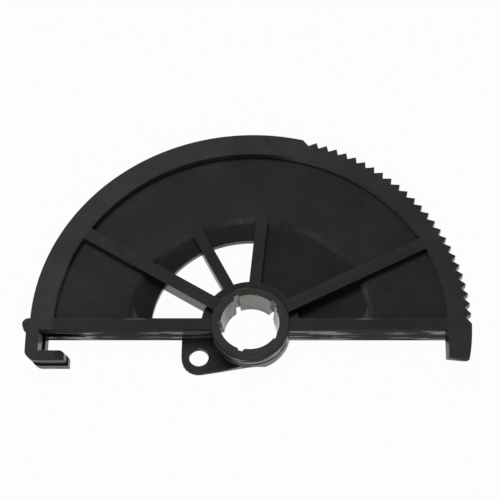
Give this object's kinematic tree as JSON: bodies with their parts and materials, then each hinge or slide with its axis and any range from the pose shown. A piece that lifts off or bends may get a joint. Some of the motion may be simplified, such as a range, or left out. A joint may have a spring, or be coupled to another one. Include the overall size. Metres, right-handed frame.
{
  "type": "sector gear",
  "caption": "Half-disc plastic sector gear with fine saw teeth, a round bore, a ribbed and stepped web, a cable hook and a stop foot.",
  "frame": {"origin": "centre of the footprint at the height of the back face, on which the part lies", "axes": "+Z along the bore towards the front face, +X along the straight bar towards the teeth and the stop foot, +Y from the bar towards the top of the rim"},
  "size_m": [0.1286, 0.0764, 0.0074],
  "materials": {
    "black_nylon": "satin black moulding, slightly lighter on worn edges"
  },
  "bodies": {
    "root": {"sector_gear": "black_nylon"}
  },
  "joints": []
}
